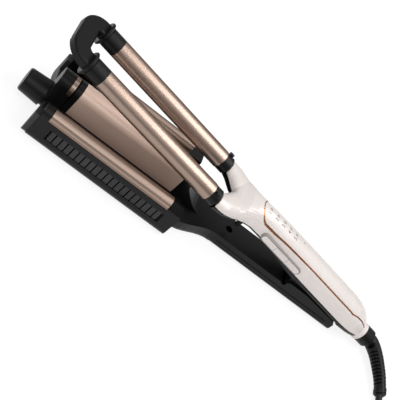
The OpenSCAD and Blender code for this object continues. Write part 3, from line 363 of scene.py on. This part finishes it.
def along(path, s):
    """Point and direction at length s along a path, straight on before its start."""
    if s <= 0:
        way = (path[1] - path[0]).normalized()
        return path[0] + way * s, way
    for a, b in zip(path, path[1:]):
        step = (b - a).length
        if s <= step:
            return a.lerp(b, s / step), (b - a).normalized()
        s -= step
    way = (path[-1] - path[-2]).normalized()
    return path[-1] + way * s, way


def steps_between(marks, value):
    """Linear reading of a list of (place, value) marks."""
    for (x0, y0), (x1, y1) in zip(marks, marks[1:]):
        if value <= x1:
            return y0 + (y1 - y0) * max(0, value - x0) / (x1 - x0)
    return marks[-1][1]


# (Length from the exit, radius) of the plain sleeve, in mm
RELIEF_MARKS = [(-33, 1.5), (-2, 1.5), (-1.9, 6.6), (0, 7.0), (2, 7.2), (5.7, 7.1), (12.9, 6.9),
    (21.9, 6.6), (31.8, 6.3), (42.6, 5.9), (50.2, 5.7), (50.6, 6.2), (55.2, 6.1), (56.2, 5.3)]
# (Length from the exit, sideways bow) of its middle line, in mm
RELIEF_BOW = [(0, 0), (8, 0.8), (20, 1.6), (40, 1.6), (56, 0.3)]
# Lengths from the exit in mm, angles round the sleeve in degrees
SLOT_COUNT = 10
SLOT_PITCH = 3.45
SLOT_FIRST = 15.5
SLOT_HALF = 0.75
SLOT_DEPTH = 2.0
SCALLOP_DEPTH = 0.45
SLOT_FROM, SLOT_TO = -150, 20
SCALLOP_FROM, SCALLOP_TO = 60, 172
POCKET_AT, POCKET_HALF, POCKET_DEPTH = 6.5, 4.5, 2.6
POCKET_FACE, POCKET_SPREAD = -35, 55
RELIEF_SMOOTH = 8
HEAD_ROWS = 15
RING_SIDES = 48
WALL_RUN = 0.08
WALL_TURN = 0.6


def relief_groove(s, angle):
    """Depth below the plain sleeve, in mm: slots on one side, scallops on the other."""
    deep = 0
    for i in range(SLOT_COUNT):
        if SLOT_FROM < angle < SLOT_TO and abs(s - SLOT_FIRST - i * SLOT_PITCH) < SLOT_HALF:
            deep = SLOT_DEPTH
        if SCALLOP_FROM < angle < SCALLOP_TO and abs(
                s - SLOT_FIRST - (i + 0.5) * SLOT_PITCH) < SLOT_HALF:
            deep = SCALLOP_DEPTH
    near = max(0, 1 - ((s - POCKET_AT) / POCKET_HALF) ** 2)
    facing = max(0, 1 - ((angle - POCKET_FACE) / POCKET_SPREAD) ** 2)
    return max(deep, POCKET_DEPTH * near * facing)


def make_relief():
    """Moulded sleeve with a row of flex slots, a shallow pocket and an end ring."""
    # Angle 0 is the side that faces the camera's fixed place
    eye = Vector(CAMERA_AT)
    path = smooth_path([EXIT, EXIT + AXIS * EXIT_STUB]
        + [Vector(p) + CORD_SHIFT for p in RELIEF_POINTS], RELIEF_SMOOTH)
    places = {m[0] for m in RELIEF_MARKS} | {float(i) for i in range(HEAD_ROWS)}
    for i in range(2 * SLOT_COUNT):
        middle = SLOT_FIRST + i * SLOT_PITCH / 2
        for edge in (-SLOT_HALF, SLOT_HALF):
            places |= {middle + edge - WALL_RUN, middle + edge + WALL_RUN}
    ends = (SLOT_FROM, SLOT_TO, SCALLOP_FROM, SCALLOP_TO)
    angles = {360 / RING_SIDES * i - 180 for i in range(RING_SIDES)} - set(ends)
    for end in ends:
        angles |= {end - WALL_TURN, end + WALL_TURN}
    angles = sorted(angles)
    verts, faces = [], []
    for s in sorted(places):
        middle, way = along(path, s * MM)
        face = (eye - middle).normalized()
        face = (face - way * face.dot(way)).normalized()
        right = face.cross(way)
        middle = middle + right * (steps_between(RELIEF_BOW, s) * MM)
        for angle in angles:
            r = (steps_between(RELIEF_MARKS, s) - relief_groove(s, angle)) * MM
            turn = math.radians(angle)
            verts.append(middle + face * (r * math.cos(turn)) + right * (r * math.sin(turn)))
    n = len(angles)
    for row in range(len(verts) // n - 1):
        for i in range(n):
            j = (i + 1) % n
            faces.append((row * n + i, row * n + j, (row + 1) * n + j, (row + 1) * n + i))
    faces.append(tuple(range(n)))
    faces.append(tuple(range(len(verts) - 1, len(verts) - n - 1, -1)))
    relief = mesh_object("relief_sleeve", verts, faces, "black_plastic", "handle")
    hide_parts("strain_relief")
    return relief


relief = make_relief()

# The lamps' places and the digits in mm, the ink's own measures in metres
WINDOW_X = [85.6, 76.4, 67.6, 59.1, 50.7]
DIGIT_SIZE = 5.4
DIGIT_SIDE = 4.4
INK_HALF = 0.00004
INK_LIFT = 0.00008
ABOVE_ALL = 80


def surface_over(node):
    """Search tree of a node's mesh, as it lies in the scene."""
    obj = NODES[node]
    verts = [obj.matrix_world @ v.co for v in obj.data.vertices]
    return BVHTree.FromPolygons(verts, [p.vertices for p in obj.data.polygons])


def drop_onto(trees, x, y):
    """Highest point and its normal under a place of the handle's frame."""
    hits = [tree.ray_cast(upper(x, y, ABOVE_ALL), -LIFT) for tree in trees]
    hits = [hit for hit in hits if hit[0] is not None]
    return min(hits, key=lambda hit: hit[3])[:2]


def print_digit(number, trees, x, y, ride):
    """A printed number that lies on the handle's surface, its head towards the tip."""
    name = f"digit_{number}"
    at, normal = drop_onto(trees, x, y)
    if normal.dot(LIFT) < 0:
        normal = -normal
    across = normal.cross(AXIS).normalized()
    data = bpy.data.curves.new(name, "FONT")
    data.body = str(number)
    data.size = DIGIT_SIZE * MM
    data.align_x = "CENTER"
    data.align_y = "CENTER"
    data.extrude = INK_HALF
    text = bpy.data.objects.new(name + "_text", data)
    bpy.context.collection.objects.link(text)
    shapes = bpy.context.evaluated_depsgraph_get()
    mesh = bpy.data.meshes.new_from_object(text.evaluated_get(shapes), depsgraph=shapes)
    bpy.data.objects.remove(text)
    mesh.name = name
    mesh.materials.clear()
    mesh.materials.append(MATERIALS["ink"])
    head = normal.cross(across).normalized()
    turn = Matrix((across, head, normal)).transposed()
    mesh.transform(Matrix.Translation(at + normal * INK_LIFT) @ turn.to_4x4())
    obj = bpy.data.objects.new(name, mesh)
    bpy.context.collection.objects.link(obj)
    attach(obj, ride)


def make_digits():
    """Setting numbers 1 to 5 beside the five lamps."""
    trees = [surface_over("inlay_panel"), surface_over("upper_shell")]
    for i, x in enumerate(WINDOW_X):
        print_digit(i + 1, trees, -x, -DIGIT_SIDE, "handle")


make_digits()

# ---------- floor and light ----------

FLOOR_SIZE = 8
FLOOR_DROP = 0.0005
FLOOR_GLOW = 0.8
FLOOR_WHITE = 1.06
PAPER_TONE, PAPER_ROUGH = 0.9, 0.9
PAPER_GRAIN = 3
PAPER_SPREAD = (0.85, 0.95)
DOME_LOW, DOME_HIGH = 0.12, 0.95
LIT_POINT = (0, 0, 0.03)
LAMPS = [("key", (0.62, -0.02, 1.1), (1.2, 0.3), 7.2),
    ("fill", (-0.4, -1.0, 1.15), (1.6, 0.9), 6.0)]


def make_floor():
    """A white floor that keeps the tool's soft shadow and shows in its metal."""
    bpy.ops.mesh.primitive_plane_add(size=FLOOR_SIZE, location=(0, 0, -FLOOR_DROP))
    floor = bpy.context.object
    floor.name = "floor"
    m = Nodes("paper", (PAPER_TONE, PAPER_TONE, PAPER_TONE), PAPER_ROUGH)
    grain = m.noise(PAPER_GRAIN, DRIFT_DETAIL)
    m.link(m.ramp(grain, *PAPER_SPREAD), m.bsdf, "Roughness")
    nodes = m.tree.nodes
    rays = nodes.new("ShaderNodeLightPath").outputs
    # Seen by the camera, in a reflection or through glass, it is mostly an even white glow
    seen = rays["Is Camera Ray"]
    for kind in ("Is Glossy Ray", "Is Transmission Ray"):
        both = nodes.new("ShaderNodeMath")
        both.operation = "MAXIMUM"
        m.link(seen, both, 0)
        m.link(rays[kind], both, 1)
        seen = both.outputs[0]
    share = nodes.new("ShaderNodeMath")
    share.operation = "MULTIPLY"
    m.set(share, 1, FLOOR_GLOW)
    m.link(seen, share, 0)
    glow = nodes.new("ShaderNodeEmission")
    m.set(glow, "Strength", FLOOR_WHITE)
    mix = nodes.new("ShaderNodeMixShader")
    m.link(share.outputs[0], mix, 0)
    m.link(m.bsdf.outputs[0], mix, 1)
    m.link(glow.outputs[0], mix, 2)
    m.link(mix.outputs[0], nodes["Material Output"], "Surface")
    floor.data.materials.append(m.mat)


def make_light(name, place, size, power):
    """A soft rectangular lamp that faces the tool."""
    data = bpy.data.lights.new(name, "AREA")
    data.shape = "RECTANGLE"
    data.size, data.size_y = size
    data.energy = power
    lamp = bpy.data.objects.new(name, data)
    lamp.location = place
    lamp.rotation_mode = "QUATERNION"
    lamp.rotation_quaternion = (Vector(LIT_POINT) - Vector(place)).to_track_quat("-Z", "Y")
    bpy.context.collection.objects.link(lamp)


def make_world():
    """A soft dome, brighter overhead than near the horizon."""
    world = bpy.data.worlds.new("studio")
    world.use_nodes = True
    nodes, links = world.node_tree.nodes, world.node_tree.links
    split = nodes.new("ShaderNodeSeparateXYZ")
    links.new(nodes.new("ShaderNodeTexCoord").outputs["Generated"], split.inputs[0])
    rise = nodes.new("ShaderNodeMapRange")
    rise.interpolation_type = "SMOOTHSTEP"
    rise.inputs["To Min"].default_value = DOME_LOW
    rise.inputs["To Max"].default_value = DOME_HIGH
    links.new(split.outputs["Z"], rise.inputs["Value"])
    back = nodes["Background"]
    back.inputs["Color"].default_value = (1, 1, 1, 1)
    links.new(rise.outputs["Result"], back.inputs["Strength"])
    bpy.context.scene.world = world


def make_studio():
    """Floor, dome and lamps, shown without any tone curve."""
    make_floor()
    make_world()
    for lamp in LAMPS:
        make_light(*lamp)
    bpy.context.scene.view_settings.view_transform = "Standard"


make_studio()
